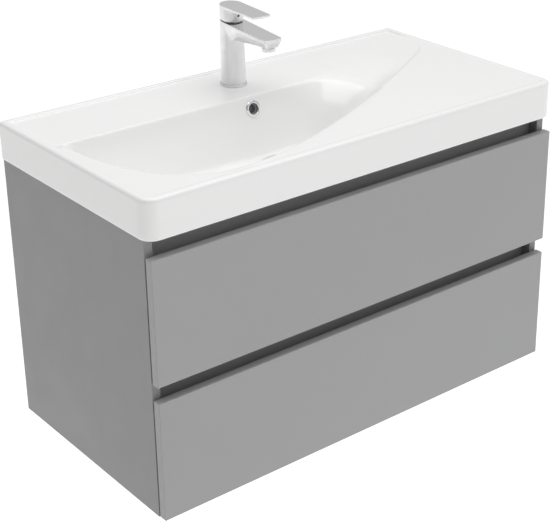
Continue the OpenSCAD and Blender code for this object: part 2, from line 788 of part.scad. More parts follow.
module tap_tails() {   // hot and cold, each threaded inside at its foot for a hose
    color(BRASS) for (s = [-1, 1]) at_tap(ring_h) translate([s * inlet_x, inlet_y, 0]) difference() {
        cylinder(r = tail_r, h = core_top - ring_h);
        translate([0, 0, -1]) cylinder(r = inlet_r, h = inlet_len + 1);
        cylinder(r = tail_bore_r, h = tap_h);
    }
}

module tap_cartridge() {
    color(PLASTIC_WHITE) at_tap(tap_h - 42) difference() {
        cylinder(r = cartridge_r, h = 35);
        translate([0, 0, 24]) cylinder(r = 14.2, h = 20);
    }
}

module tap_dome() {   // screws down over the cartridge, and the lever's hub turns and tilts round it
    color(CHROME) at_tap(pivot_h) difference() {
        union() {
            intersection() {
                sphere(r = dome_r);
                cylinder(r = dome_r + 1, h = dome_r);
            }
            translate([0, 0, -9 + 0.2]) cylinder(r = dome_r, h = 9);
        }
        sphere(r = dome_r - 2.5);
        translate([0, 0, -10]) cylinder(r = dome_r - 2.5, h = 10);
        cylinder(r = 13, h = 2 * dome_r);
    }
}

module tap_carrier() {   // turns in the cartridge, and its pin carries the spindle
    color(PLASTIC_GREY) at_tap(pivot_h) {
        difference() {
            translate([0, 0, -19.8]) cylinder(r = 14, h = 7);
            translate([0, 0, -10]) box(-4.5, 4.5, -8, 8, -6, 1);
        }
        for (s = [-1, 1]) box(s > 0 ? 4.6 : -8, s > 0 ? 8 : -4.6, -4, 4, -13, 4);
        rotate([0, 90, 0]) translate([0, 0, -8]) cylinder(r = pin_r, h = 16);
    }
}

module tap_spindle() {
    color(ZINC) at_tap(pivot_h) difference() {
        box(-4, 4, -4, 4, -6, spindle_h);
        rotate([0, 90, 0]) translate([0, 0, -8]) cylinder(r = pin_r + pin_clear, h = 16);
    }
}

spindle_h = 20;
cap_r = 2.6;
cap_z = hub_base + 9;

module tap_lever() {
    fall = tan(lever_tilt);
    relief = tan(lever_lift);
    color(CHROME) at_tap(0) difference() {
        intersection() {
            linear_extrude(2 * lever_top) tongue(tap_top_r, lever_w, lever_reach);
            side_profile([[-lever_reach - 2, lever_top - lever_reach * fall],
                          [-lever_reach + 1, lever_top - lever_tip_t - lever_reach * fall],
                          [-tap_top_r - 4, lever_top - 8], [-tap_top_r, lever_top - 9.5],
                          [-tap_top_r, hub_base - hub_dip], [0, hub_base], [tap_top_r + 2, hub_base + (tap_top_r + 2) * relief],
                          [tap_top_r + 2, lever_top + tap_top_r * fall]], 40);
        }
        translate([0, 0, pivot_h]) sphere(r = dome_r + hub_gap);
        translate([0, 0, pivot_h - 20]) cylinder(r = dome_r + hub_gap, h = 20);
        translate([0, 0, pivot_h]) box(-4, 4, -4, 4, 0, spindle_h);
        translate([0, -tap_top_r - 1, cap_z]) along_y(cap_r, 3);
    }
}

module tap_index_cap() {
    color("#8c3b33") at_tap(cap_z) translate([0, -tap_top_r + 0.4, 0]) along_y(cap_r - 0.05, 1.4);
}

module tap_aerator() {
    fall = tan(top_tilt);
    color(CHROME) at_tap(tap_h - aerator_reach * fall - spout_t) translate([0, -aerator_reach, 0]) difference() {
        union() {
            translate([0, 0, -7.5]) cylinder(r = aerator_r, h = 6.8);
            translate([0, 0, -0.8]) cylinder(r = aerator_r - 1.6, h = 9);
        }
        translate([0, 0, -8]) cylinder(r = aerator_r - 3, h = 4);
        for (x = [-6 : 3 : 6], y = [-6 : 3 : 6]) if (norm([x, y]) < 8)
            translate([x, y, -5]) cylinder(r = 0.9, h = 20, $fn = 16);
    }
}

module tap_fixing() {   // stud, horseshoe washer and nut, under the deck
    color(ZINC) at_tap(0) {
        translate([0, stud_y, -60]) cylinder(r = stud_r - 0.05, h = 60 + ring_h + 12);
        translate([0, 0, -fixing_z]) difference() {
            cylinder(r = 25, h = 3);
            box(-14, 14, stud_y + 7, 30, -1, 4);
            translate([0, stud_y, -1]) cylinder(r = stud_r - 0.1, h = 5);
        }
        translate([0, stud_y, -fixing_z - 10]) difference() {
            cylinder(r = 7.5, h = 10, $fn = 6);
            translate([0, 0, -1]) cylinder(r = stud_r - 0.1, h = 12);
        }
    }
}

// ---- Assembly ----

side_panel(-1);  // side_panel_left
side_panel(1);  // side_panel_right
bottom_panel();
rear_rail_upper();
rear_rail_lower();
recess_rail(0);  // recess_rail_upper
recess_rail(1);  // recess_rail_middle
cam_locks();
hanger_housings();
hanger_hooks();
wall_plates();
basin();
overflow_ring();
waste_body();
waste_plug();
waste_gasket();
waste_nut();
trap_bottle();
trap_inlet_nut();
trap_outlet_pipe();
tap_base_ring();
tap_body();
tap_dome();
tap_cartridge();
tap_carrier();
tap_spindle();
tap_lever();
tap_index_cap();
tap_aerator();
tap_tails();
tap_fixing();
for (i = [0, 1]) {
    name = ["upper", "lower"][i];
    for (side = [-1, 1]) {
        hand = side < 0 ? "left" : "right";
        runner_outer(side, i);
        runner_inner(side, i);
        drawer_side(side, i);
    }
    runner_middle_members(i);
    runner_outer_cages(i);
    runner_inner_cages(i);
    drawer_front(i);
    drawer_box_front(i);
    drawer_back(i);
    drawer_bottom(i);
    drawer_screws(i);
}
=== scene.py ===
import json
import math

import bmesh
import bpy
import numpy as np
from mathutils import Matrix, Vector
from mathutils.geometry import delaunay_2d_cdt


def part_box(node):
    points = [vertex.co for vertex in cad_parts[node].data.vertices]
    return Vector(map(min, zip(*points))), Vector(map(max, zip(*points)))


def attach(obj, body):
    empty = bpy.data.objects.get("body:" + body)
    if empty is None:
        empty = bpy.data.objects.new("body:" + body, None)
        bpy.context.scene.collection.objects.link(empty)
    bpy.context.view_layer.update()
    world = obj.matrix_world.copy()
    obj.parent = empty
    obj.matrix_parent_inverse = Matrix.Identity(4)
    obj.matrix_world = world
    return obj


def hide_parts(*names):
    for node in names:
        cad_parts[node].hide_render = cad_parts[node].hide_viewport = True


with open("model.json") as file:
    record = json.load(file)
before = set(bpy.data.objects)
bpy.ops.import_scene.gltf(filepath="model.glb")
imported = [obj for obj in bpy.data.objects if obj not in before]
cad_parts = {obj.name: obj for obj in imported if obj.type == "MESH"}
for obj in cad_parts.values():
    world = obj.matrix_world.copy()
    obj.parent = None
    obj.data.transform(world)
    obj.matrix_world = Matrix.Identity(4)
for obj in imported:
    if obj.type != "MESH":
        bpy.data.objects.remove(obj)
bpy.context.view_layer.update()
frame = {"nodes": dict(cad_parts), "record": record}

NODES = frame["nodes"]
MM = 0.001


# ---------------------------------------------------------------- materials

def material(name, color, roughness=0.5, metallic=0.0, specular=0.5, coat=0.0, coat_roughness=0.05):
    """A principled material and the things its detail is hung on."""
    m = bpy.data.materials.new(name)
    m.use_nodes = True
    nt = m.node_tree
    b = nt.nodes["Principled BSDF"]
    b.inputs["Base Color"].default_value = (*color, 1)
    b.inputs["Roughness"].default_value = roughness
    b.inputs["Metallic"].default_value = metallic
    b.inputs["Specular IOR Level"].default_value = specular
    b.inputs["Coat Weight"].default_value = coat
    b.inputs["Coat Roughness"].default_value = coat_roughness
    return m, nt, b


def noise(nt, scale, detail=3.0, stretch=(1, 1, 1)):
    """Noise laid in object space, which is the frame's own space."""
    co = nt.nodes.new("ShaderNodeTexCoord")
    mp = nt.nodes.new("ShaderNodeMapping")
    mp.inputs["Scale"].default_value = stretch
    tx = nt.nodes.new("ShaderNodeTexNoise")
    tx.inputs["Scale"].default_value = scale
    tx.inputs["Detail"].default_value = detail
    nt.links.new(co.outputs["Object"], mp.inputs["Vector"])
    nt.links.new(mp.outputs["Vector"], tx.inputs["Vector"])
    return tx.outputs["Fac"]


def spread(nt, fac, low, high, target):
    """Maps a 0 to 1 texture onto a range of a shader value."""
    r = nt.nodes.new("ShaderNodeMapRange")
    r.inputs["From Min"].default_value = 0.3
    r.inputs["From Max"].default_value = 0.7
    r.inputs["To Min"].default_value = low
    r.inputs["To Max"].default_value = high
    nt.links.new(fac, r.inputs["Value"])
    nt.links.new(r.outputs["Result"], target)


def tint(nt, fac, a, b, target):
    """Varies a colour between two near shades."""
    r = nt.nodes.new("ShaderNodeValToRGB")
    r.color_ramp.elements[0].position = 0.3
    r.color_ramp.elements[1].position = 0.7
    r.color_ramp.elements[0].color = (*a, 1)
    r.color_ramp.elements[1].color = (*b, 1)
    nt.links.new(fac, r.inputs["Fac"])
    nt.links.new(r.outputs["Color"], target)


def bump(nt, bsdf, fac, distance, strength=1.0, radius=None):
    """Fine relief, with rounded edges where radius is given."""
    n = nt.nodes.new("ShaderNodeBump")
    n.inputs["Strength"].default_value = strength
    n.inputs["Distance"].default_value = distance
    nt.links.new(fac, n.inputs["Height"])
    if radius:
        v = nt.nodes.new("ShaderNodeBevel")
        v.samples = 6
        v.inputs["Radius"].default_value = radius
        nt.links.new(v.outputs["Normal"], n.inputs["Normal"])
    nt.links.new(n.outputs["Normal"], bsdf.inputs["Normal"])


def lacquer(name, v, edge=None):
    """Satin lacquer sprayed on board: a faint orange peel and a slight drift of shade about the grey v."""
    m, nt, b = material(name, (v, v, v * 1.002), 0.42, specular=0.35)
    tint(nt, noise(nt, 2.2, 2), (v * 0.985, v * 0.985, v * 0.985), (v * 1.015, v * 1.015, v * 1.02),
         b.inputs["Base Color"])
    spread(nt, noise(nt, 14, 3), 0.38, 0.47, b.inputs["Roughness"])
    bump(nt, b, noise(nt, 900, 2), 0.00002, 0.35, edge)
    return m


def ceramic():
    """Glazed white ceramic: a clear coat over a body with a faint drift of shade and a slow ripple."""
    m, nt, b = material("ceramic", (0.9, 0.9, 0.895), 0.1, specular=0.5, coat=0.25)
    tint(nt, noise(nt, 3, 2), (0.905, 0.905, 0.898), (0.92, 0.92, 0.917), b.inputs["Base Color"])
    spread(nt, noise(nt, 9, 3), 0.09, 0.15, b.inputs["Roughness"])
    bump(nt, b, noise(nt, 45, 2), 0.00005, 0.25)
    return m


def chrome(name="chrome", value=0.9, sides=0.42, tops=0.09):
    """Plated brass: the flat tops are buffed bright, the cast sides are softer."""
    m, nt, b = material(name, (value, value, value * 1.01), sides, metallic=1.0)
    geometry = nt.nodes.new("ShaderNodeNewGeometry")
    split = nt.nodes.new("ShaderNodeSeparateXYZ")
    finish = nt.nodes.new("ShaderNodeMapRange")
    wear = nt.nodes.new("ShaderNodeMath")
    nt.links.new(geometry.outputs["Normal"], split.inputs[0])
    for key, number in (("From Min", 0.8), ("From Max", 0.97), ("To Min", sides), ("To Max", tops)):
        finish.inputs[key].default_value = number
    nt.links.new(split.outputs["Z"], finish.inputs["Value"])
    wear.operation = "MULTIPLY"
    nt.links.new(finish.outputs[0], wear.inputs[0])
    spread(nt, noise(nt, 60, 3), 0.85, 1.2, wear.inputs[1])
    nt.links.new(wear.outputs[0], b.inputs["Roughness"])
    bump(nt, b, noise(nt, 120, 2), 0.00002, 0.12)
    return m


def zinc():
    """Zinc-plated sheet with a drawn grain."""
    m, nt, b = material("zinc", (0.6, 0.61, 0.63), 0.3, metallic=1.0)
    tint(nt, noise(nt, 35, 4, (1, 0.15, 1)), (0.52, 0.53, 0.55), (0.68, 0.69, 0.7),
         b.inputs["Base Color"])
    spread(nt, noise(nt, 120, 4, (1, 0.1, 1)), 0.22, 0.42, b.inputs["Roughness"])
    bump(nt, b, noise(nt, 700, 2, (1, 0.1, 1)), 0.00002, 0.3, 0.0004)
    return m


def melamine():
    """Pale grey melamine with a fine linen grain."""
    m, nt, b = material("melamine", (0.6, 0.6, 0.59), 0.5, specular=0.35)
    tint(nt, noise(nt, 260, 4, (1, 0.12, 1)), (0.575, 0.575, 0.565), (0.63, 0.63, 0.62),
         b.inputs["Base Color"])
    spread(nt, noise(nt, 40, 3), 0.45, 0.58, b.inputs["Roughness"])
    bump(nt, b, noise(nt, 900, 3, (1, 0.2, 1)), 0.00004, 0.4, 0.0006)
    return m


def moulded(name, dark, light, roughness, edge=0.0005):
    """Moulded plastic or rubber between two near shades, with a fine spark-eroded grain."""
    m, nt, b = material(name, dark, roughness, specular=0.45)
    tint(nt, noise(nt, 30, 3), dark, light, b.inputs["Base Color"])
    spread(nt, noise(nt, 80, 3), roughness * 0.85, roughness * 1.2, b.inputs["Roughness"])
    bump(nt, b, noise(nt, 1500, 2), 0.00002, 0.3, edge)
    return m


GREY = 0.29          # the carcass's lacquer; the drawer fronts use the same lacquer painted 1.3 times lighter, as painted light for the extra light they catch
BRASS = (0.72, 0.55, 0.27, 1)
MATS = {
    "carcass_grey": lacquer("carcass_grey", GREY, 0.0006),
    # front_grey is the carcass's lacquer painted 1.3 times lighter: painted light on the drawer fronts, which face
    # the light more than the sides
    "front_grey": lacquer("front_grey", GREY * 1.3),
    "drawer_board": melamine(),
    "zinc": zinc(),
    "chrome": chrome(),
    "ceramic": ceramic(),
    "rubber": moulded("rubber", (0.03, 0.03, 0.03), (0.05, 0.05, 0.05), 0.7),
    "grey_plastic": moulded("grey_plastic", (0.28, 0.29, 0.3), (0.32, 0.33, 0.34), 0.45),
    "white_plastic": moulded("white_plastic", (0.8, 0.8, 0.79), (0.84, 0.84, 0.83), 0.25),
    "brass": chrome("brass", 0.7, 0.25),
    "index_red": moulded("index_red", (0.16, 0.02, 0.018), (0.2, 0.03, 0.026), 0.3),
}
MATS["brass"].node_tree.nodes["Principled BSDF"].inputs["Base Color"].default_value = BRASS
# chrome painted dark for the neck under the lever hub: painted shade standing in for the dark gap between the hub
# and the body
PAINTED_SHADE_CHROME = chrome("painted_shade_chrome", 0.22, 0.12)


# ---------------------------------------------------------------- mesh tools

CREASE = 32   # degrees between faces above which an edge is drawn sharp


def add(name, verts, faces, slot, body, replaced=(), smooth=True, mat=None):
    """A piece from vertices in millimetres, which rides on a body and may stand for CAD nodes."""
    me = bpy.data.meshes.new(name)
    me.from_pydata([tuple(float(c) * MM for c in v) for v in verts], [],
                   [tuple(int(i) for i in f) for f in faces])
    me.validate()
    bm = bmesh.new()
    bm.from_mesh(me)
    bmesh.ops.remove_doubles(bm, verts=bm.verts, dist=1e-7)
    bmesh.ops.recalc_face_normals(bm, faces=bm.faces)
    bm.to_mesh(me)
    bm.free()
    o = bpy.data.objects.new(name, me)
    bpy.context.scene.collection.objects.link(o)
    for p in me.polygons:
        p.use_smooth = smooth
    if smooth:
        me.set_sharp_from_angle(angle=math.radians(CREASE))
    me.materials.append(mat or MATS[slot])
    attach(o, body)
    if replaced:
        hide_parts(*replaced)


def loops_to_faces(count, n, first_cap=False, last_cap=False):
    """Quads between count closed loops of n points each, with flat caps where asked."""
    faces = [(k * n + i, k * n + (i + 1) % n, (k + 1) * n + (i + 1) % n, (k + 1) * n + i)
             for k in range(count - 1) for i in range(n)]
    if first_cap:
        faces.append(tuple(range(n - 1, -1, -1)))
    if last_cap:
        faces.append(tuple((count - 1) * n + i for i in range(n)))
    return faces


def lathe(profile, n=96, warp=None):
    """Turns (radius, height) pairs about Z. A radius of 0 closes the end. warp may move each point."""
    rings = []
    for r, z in profile:
        for i in range(n):
            a = 2 * math.pi * i / n
            p = [r * math.cos(a), r * math.sin(a), z]
            rings.append(warp(p) if warp else p)
    return rings, loops_to_faces(len(profile), n)


def arc(cx, cz, r, a0, a1, n=6):
    """Points of an arc, for profiles."""
    return [(cx + r * math.cos(math.radians(a0 + (a1 - a0) * i / n)),
             cz + r * math.sin(math.radians(a0 + (a1 - a0) * i / n))) for i in range(n + 1)]


def moved(verts, origin, turn=None):
    m = Matrix.Translation(Vector(origin)) @ (turn if turn else Matrix.Identity(4))
    return [tuple(m @ Vector(v)) for v in verts]


def board(name, node, body, radius=0.8, segments=3):
    """A flat board with eased edges, in the place of its CAD solid."""
    lo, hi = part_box(node)
    bm = bmesh.new()
    bmesh.ops.create_cube(bm, size=1.0)
    for v in bm.verts:
        v.co = (lo + hi) / 2 + v.co * (hi - lo)
    bmesh.ops.bevel(bm, geom=bm.edges[:], offset=radius * MM, segments=segments, profile=0.5, affect="EDGES",
                    clamp_overlap=True)
    me = bpy.data.meshes.new(name)
    bm.to_mesh(me)
    bm.free()
    for p in me.polygons:
        p.use_smooth = True
    o = bpy.data.objects.new(name, me)
    bpy.context.scene.collection.objects.link(o)
    w = o.modifiers.new("weighted", "WEIGHTED_NORMAL")
    w.keep_sharp = False
    slot = next(s["material_slot"] for s in frame["record"]["subparts"] if s["node"] == node)
    me.materials.append(MATS[slot])
    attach(o, body)
    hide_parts(node)


# ---------------------------------------------------------------- boards

board("panel_left", "side_panel_left", "cabinet")
board("panel_right", "side_panel_right", "cabinet")
board("front_upper", "upper_drawer_front", "upper_drawer", 1.2, segments=4)
board("front_lower", "lower_drawer_front", "lower_drawer", 1.2, segments=4)


# ---------------------------------------------------------------- basin

lo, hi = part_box("basin")
X, YF, YB = hi.x / MM, lo.y / MM, hi.y / MM
Z_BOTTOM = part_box("side_panel_left")[1].z / MM
ring_lo, ring_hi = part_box("tap_base_ring")
TAP = ((ring_lo.x + ring_hi.x) / 2 / MM, (ring_lo.y + ring_hi.y) / 2 / MM)
Z_RIM = hi.z / MM
Z_SHELF = Z_RIM - 1.5
Z_DECK = ring_lo.z / MM
RIM_W, R_FRONT, R_BACK = 15.0, 26.0, 8.0     # raised rim's width; corner radii in plan
plug_lo, plug_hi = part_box("waste_plug")
WASTE = ((plug_lo.x + plug_hi.x) / 2 / MM, (plug_lo.y + plug_hi.y) / 2 / MM)
Y_BOWL, X_LEFT, X_RIGHT = YB - 164, -X + 32, X - 70
BOWL_DEPTH, BACK_SLOPE = 106.0, 3.6
ARRIS, FOOT = 7.0, 4.0                       # roundings of the apron's upper and lower edges
WASTE_R, WASTE_SEAT = 23.0, 14.0             # the waste's bore in the bowl


def bezier(p, t):
    p, t = np.array(p, float), np.asarray(t, float)[..., None]
    return (1 - t) ** 3 * p[0] + 3 * (1 - t) ** 2 * t * p[1] + 3 * (1 - t) * t * t * p[2] + t ** 3 * p[3]


# the bowl's crest in plan: a deep curve at the left, a long one to the right, and a hook into the deck's step
LOW = [X_LEFT + 173, YF + 29]
CREST_LEFT = [[X_LEFT, Y_BOWL - 12], [X_LEFT + 2, Y_BOWL - 147], [X_LEFT + 48, LOW[1]], LOW]
CREST_RIGHT = [LOW, [LOW[0] + 128, LOW[1]], [X_RIGHT - 254, Y_BOWL - 160], [X_RIGHT, Y_BOWL - 2]]
HOOK = [[X_RIGHT, Y_BOWL - 2], [X_RIGHT + 40, Y_BOWL + 22], [X - RIM_W - 2, Y_BOWL + 62],
        [X - RIM_W - 2, Y_BOWL + 108]]
CREST = np.vstack([bezier(CREST_LEFT, np.linspace(0, 1, 61)),
                   bezier(CREST_RIGHT, np.linspace(0, 1, 91))[1:]])
EDGE = np.vstack([[[-X - 50, Y_BOWL + 5]], CREST, bezier(HOOK, np.linspace(0, 1, 31))[1:]])


def smooth(s):
    c = np.clip(s, 0, 1)
    return c * c * (3 - 2 * c)


def mix(a, b, s):
    return a + (b - a) * s


def soft_min(a, b, k):
    """The smaller of two, with the corner between them rounded over a width of k."""
    return np.minimum(a, b) - (np.maximum(k - np.abs(a - b), 0) / k) ** 2 * k / 4


def soft_positive(f, k):
    return np.maximum(f, 0) + (np.maximum(k - np.abs(f), 0) / k) ** 2 * k / 4


def distance(p, line):
    """Distance from points to a line of short segments."""
    best = np.full(len(p), 1e18)
    for a, b in zip(line[:-1], line[1:]):
        ab = b - a
        s = np.clip(((p - a) @ ab) / (ab @ ab), 0, 1)
        d = p - a - s[:, None] * ab
        best = np.minimum(best, (d * d).sum(1))
    return np.sqrt(best)


def inside(p, poly):
    """Whether points lie in a polygon, by the count of edges crossed."""
    hit = np.zeros(len(p), bool)
    for (x0, y0), (x1, y1) in zip(poly, np.roll(poly, -1, 0)):
        if y0 != y1:
            cross = (p[:, 1] < y0) != (p[:, 1] < y1)
            hit ^= cross & (p[:, 0] < (x1 - x0) * (p[:, 1] - y0) / (y1 - y0) + x0)
    return hit


def inset_of(p):
    """How far inside the basin's outline a point is."""
    x, y = np.abs(p[:, 0]), p[:, 1]
    d = np.minimum(np.minimum(X - x, y - YF), YB - y)
    front = (x > X - R_FRONT) & (y < YF + R_FRONT)
    back = (x > X - R_BACK) & (y > YB - R_BACK)
    d = np.where(front, R_FRONT - np.hypot(x - X + R_FRONT, y - YF - R_FRONT), d)
    return np.where(back, R_BACK - np.hypot(x - X + R_BACK, y - YB + R_BACK), d)


BOWL_SIDE = np.vstack([[[X_LEFT, Y_BOWL + 60]], CREST])
BOWL_POLY = np.vstack([CREST, [[X_RIGHT, Y_BOWL + 400], [X_LEFT, Y_BOWL + 400]]])
DECK_POLY = np.vstack([EDGE, [[X + 50, YB + 50], [-X - 50, YB + 50]]])


def bowl_fall(p):
    """Depth below the deck, with the crest and the back edge eased."""
    x, y = p[:, 0], p[:, 1]
    right = smooth((x - WASTE[0] - 20) / 210)
    back = mix(BACK_SLOPE, 0.1, right) * (Y_BOWL - y)
    d = distance(p, BOWL_SIDE) * np.where(inside(p, BOWL_POLY), 1, -1)
    front = mix(1.5, 0.75, smooth((x + 60) / 400)) * d
    level = BOWL_DEPTH * (1 - smooth((x - 60) / (X_RIGHT - 60))) - 0.03 * np.hypot(x - WASTE[0], y - WASTE[1])
    f = soft_min(soft_min(back, front, 34), level, 34)
    k = mix(5.5, 9.0, smooth((front - back) / 30 + 0.5))
    return soft_positive(f + k * 0.18, k)


def surface(p):
    """Height of the basin's upper surface."""
    d = inset_of(p)
    z = np.full(len(p), Z_RIM)
    z -= (Z_RIM - Z_SHELF) * smooth((d - RIM_W + 2) / 4)
    e = distance(p, EDGE) * np.where(inside(p, DECK_POLY), 1, -1)
    drop = smooth((e + 3) / 7)
    z -= (Z_SHELF - Z_DECK) * drop * smooth((d - RIM_W + 2) / 4)
    z -= bowl_fall(p) * smooth((d - RIM_W) / 4)
    a = np.clip(ARRIS - d, 0, ARRIS)
    z -= ARRIS - np.sqrt(ARRIS ** 2 - a ** 2)
    return z


def outline(inset):
    """The basin's outline, inset, as a closed line that starts at the front left."""
    x = X - inset
    rf, rb = R_FRONT - inset, max(R_BACK - inset, 2.0)
    corners = [arc(-x + rf, YF + inset + rf, rf, 180, 270, 14), arc(x - rf, YF + inset + rf, rf, 270, 360, 14),
               arc(x - rb, YB - inset - rb, rb, 0, 90, 14), arc(-x + rb, YB - inset - rb, rb, 90, 180, 14)]
    pts = []
    for k, count in enumerate((104, 52, 104, 52)):
        pts += corners[k]
        a, b = np.array(corners[k][-1]), np.array(corners[(k + 1) % 4][0])
        pts += [tuple(a + (b - a) * (i / count)) for i in range(1, count)]
    return np.array(pts)


def offset_line(line, by):
    """A line moved to its left by a distance."""
    t = np.gradient(line, axis=0)
    t /= np.linalg.norm(t, axis=1)[:, None]
    return line + by * np.stack([-t[:, 1], t[:, 0]], 1)


# the overflow's bore, square to the bowl's back wall
OVER_TILT = math.atan(1 / BACK_SLOPE)
OVER_R = 12.2
OVER_DEPTH = 21.5
OVER_THROAT = 17.0
OVER = (WASTE[0], Y_BOWL - OVER_DEPTH / BACK_SLOPE)

INSETS = (0, 0.1, 0.4, 0.9, 1.6, 2.5, 3.6, 4.8, 6.0, 7.0, 8.0, 10.0, 12.4, 13.2, 14.0, 15.0, 16.0, 16.8, 18.0)
CREST_LINES = (-5, -3, -2, -1.2, -0.5, 0.2, 0.9, 1.6, 2.4, 3.6, 5.5)
BACK_LINES = (-9, -6, -4, -2.5, -1.2, 0, 1.2, 2.5, 4, 7, 11)
CLEAR = 19.5         # lines and grid stay this far inside the outline, clear of the loops that follow it


def basin_mesh():
    """The glazed upper surface as a height field over lines that follow each edge, and the apron below it."""
    pts, edges = [], []

    def chain(line, closed=False):
        s = len(pts)
        pts.extend(map(tuple, line))
        n = len(line)
        edges.extend((s + i, s + i + 1) for i in range(n - 1))
        if closed:
            edges.append((s + n - 1, s))

    for d in INSETS:
        chain(outline(d), True)
    for by in CREST_LINES:
        line = offset_line(CREST, by)
        keep = (inset_of(line) > CLEAR) & (line[:, 1] < Y_BOWL - 12)
        chain(line[keep])
    hook = bezier(HOOK, np.linspace(0.05, 1, 30))
    for by in (-4, -2, 0, 2, 4):
        line = offset_line(hook, by)
        chain(line[inset_of(line) > CLEAR])
    for by in BACK_LINES:
        xs = np.linspace(X_LEFT + 5, 210, 120)
        chain(np.stack([xs, np.full(len(xs), Y_BOWL + by)], 1))
    turn = np.linspace(0, 2 * math.pi, 72, endpoint=False)
    for r in (WASTE_R, 28.0, 33.0, 34.5):
        chain(np.stack([WASTE[0] + r * np.cos(turn), WASTE[1] + r * np.sin(turn)], 1), True)
    for r in (OVER_R, OVER_R + 2, 17.0):
        chain(np.stack([OVER[0] + r * np.cos(turn), OVER[1] + r * math.sin(OVER_TILT) * np.sin(turn)], 1), True)
    fixed = np.array(pts)
    # the rest of the surface: an even grid, kept clear of the lines, finer in the bowl
    grids = []
    for step, in_bowl in ((4.5, True), (9.0, False)):
        gx, gy = np.meshgrid(np.arange(-X + 20, X - 20, step), np.arange(YF + 20, YB - 20, step * 0.9))
        gx[1::2] += step / 2
        g = np.stack([gx.ravel(), gy.ravel()], 1)
        deep = inside(g, BOWL_POLY) & (g[:, 1] < Y_BOWL + 6)
        g = g[deep == in_bowl]
        g = g[inset_of(g) > 20]
        near = np.full(len(g), 1e9)
        for i in range(0, len(g), 400):
            dd = g[i:i + 400, None, :] - fixed[None, :, :]
            near[i:i + 400] = np.sqrt((dd * dd).sum(2).min(1))
        grids.append(g[near > step * 0.5])
    out = delaunay_2d_cdt([Vector(p) for p in np.vstack([fixed] + grids)], edges, [], 0, 1e-4)
    v2 = np.array([tuple(v) for v in out[0]])
    z = surface(v2)
    tri = np.array([f for f in out[2]])
    mid = v2[tri].mean(1)
    in_waste = np.hypot(mid[:, 0] - WASTE[0], mid[:, 1] - WASTE[1]) < WASTE_R
    in_over = np.hypot(mid[:, 0] - OVER[0], (mid[:, 1] - OVER[1]) / math.sin(OVER_TILT)) < OVER_R - 0.05
    tri = tri[~(in_waste | in_over)]
    verts = [tuple(v) for v in np.column_stack([v2, z])]
    faces = [tuple(t) for t in tri]

    def skirt(rings):
        """More loops after the last vertex, each a list of points of equal length."""
        n = len(rings[0])
        s = len(verts)
        for r in rings:
            verts.extend(map(tuple, r))
        faces.extend(tuple(s + i for i in f) for f in loops_to_faces(len(rings), n))

    rim = outline(0)
    walls = [np.column_stack([rim, np.full(len(rim), h)]) for h in
             (Z_RIM - ARRIS, Z_RIM - ARRIS - 1.5, Z_BOTTOM + FOOT + 1.5, Z_BOTTOM + FOOT)]
    for a in (22, 45, 68, 90):
        r = math.radians(a)
        o = outline(FOOT * (1 - math.cos(r)))
        walls.append(np.column_stack([o, np.full(len(o), Z_BOTTOM + FOOT * (1 - math.sin(r)))]))
    for i in (4.5, 14.0):
        o = outline(i)
        walls.append(np.column_stack([o, np.full(len(o), Z_BOTTOM)]))
    skirt(walls)
    # the waste's bore and the overflow's bore
    c, s = np.cos(turn), np.sin(turn)
    wx, wy = WASTE[0] + WASTE_R * c, WASTE[1] + WASTE_R * s
    zw = surface(np.stack([wx, wy], 1))
    skirt([np.column_stack([wx, wy, zw]), np.column_stack([wx, wy, zw - WASTE_SEAT])])
    ox, oy = OVER[0] + OVER_R * c, OVER[1] + OVER_R * math.sin(OVER_TILT) * s
    oz = surface(np.stack([ox, oy], 1))
    back = np.array([0, math.cos(OVER_TILT), -math.sin(OVER_TILT)])
    mouth = np.column_stack([ox, oy, oz])
    skirt([mouth, mouth + back * 6, mouth + back * OVER_THROAT])
    s0 = len(verts)
    verts.extend(map(tuple, mouth + back * OVER_THROAT))
    faces.append(tuple(range(s0, s0 + len(mouth))))
    return verts, faces


verts, faces = basin_mesh()
add("basin_glazed", verts, faces, "ceramic", "cabinet", ["basin"])


def basin_underside():
    """The hollow underside keeps the CAD solid's own faces: those under the upper surface, inside the apron."""
    me = NODES["basin"].data
    co = np.array([v.co for v in me.vertices]) / MM
    polys = [tuple(p.vertices) for p in me.polygons]
    mid = np.array([co[list(p)].mean(0) for p in polys])
    under = surface(mid[:, :2]) - mid[:, 2]
    keep = (under > 3.0) & (inset_of(mid[:, :2]) > 13.5)
    used = [p for p, k in zip(polys, keep) if k]
    ids = sorted({i for p in used for i in p})
    new = {i: k for k, i in enumerate(ids)}
    return [tuple(co[i]) for i in ids], [tuple(new[i] for i in p) for p in used]


verts, faces = basin_underside()
add("basin_underside", verts, faces, "ceramic", "cabinet", smooth=False)


# ---------------------------------------------------------------- overflow ring, waste

TILT = Matrix.Rotation(math.radians(90) - OVER_TILT, 4, "X")
over_z = float(surface(np.array([[OVER[0], OVER[1]]]))[0])
profile = [(10.2, -12), (10.2, 1.2)] + arc(11.4, 1.4, 1.2, 180, 90, 5) + [(13.6, 2.6)] \
    + arc(13.6, 0.6, 2.0, 90, 0, 6) + [(15.6, 0.05), (12.1, 0.0), (12.1, -12), (10.2, -12)]
v, f = lathe(profile)
add("overflow_trim", moved(v, (OVER[0], OVER[1], over_z), TILT), f, "chrome", "cabinet", ["overflow_ring"],
    mat=chrome("bright_chrome", 0.8, 0.13))

throat = [(10.15, 1.0), (10.15, -4.0), (8.4, -4.6), (8.4, -14.0), (0.0, -14.0)]
v, f = lathe(throat)
add("overflow_throat", moved(v, (OVER[0], OVER[1], over_z), TILT), f, "grey_plastic", "cabinet")

plug_top = plug_hi.z / MM
profile = [(0.0, 0.0)] + [(r, -0.4 * (r / 20) ** 2) for r in (4, 8, 12, 16, 19)] + [(22.5, -0.9), (24.6, -1.5)] \
    + arc(25.2, -3.0, 1.6, 75, -60, 6) + [(24.0, -4.8), (9.0, -4.8), (5.0, -9.8), (3.0, -10.2), (3.0, -50)]
v, f = lathe(profile)
add("plug", moved(v, (WASTE[0], WASTE[1], plug_top)), f, "chrome", "waste_plug", ["waste_plug"])


# ---------------------------------------------------------------- mixer

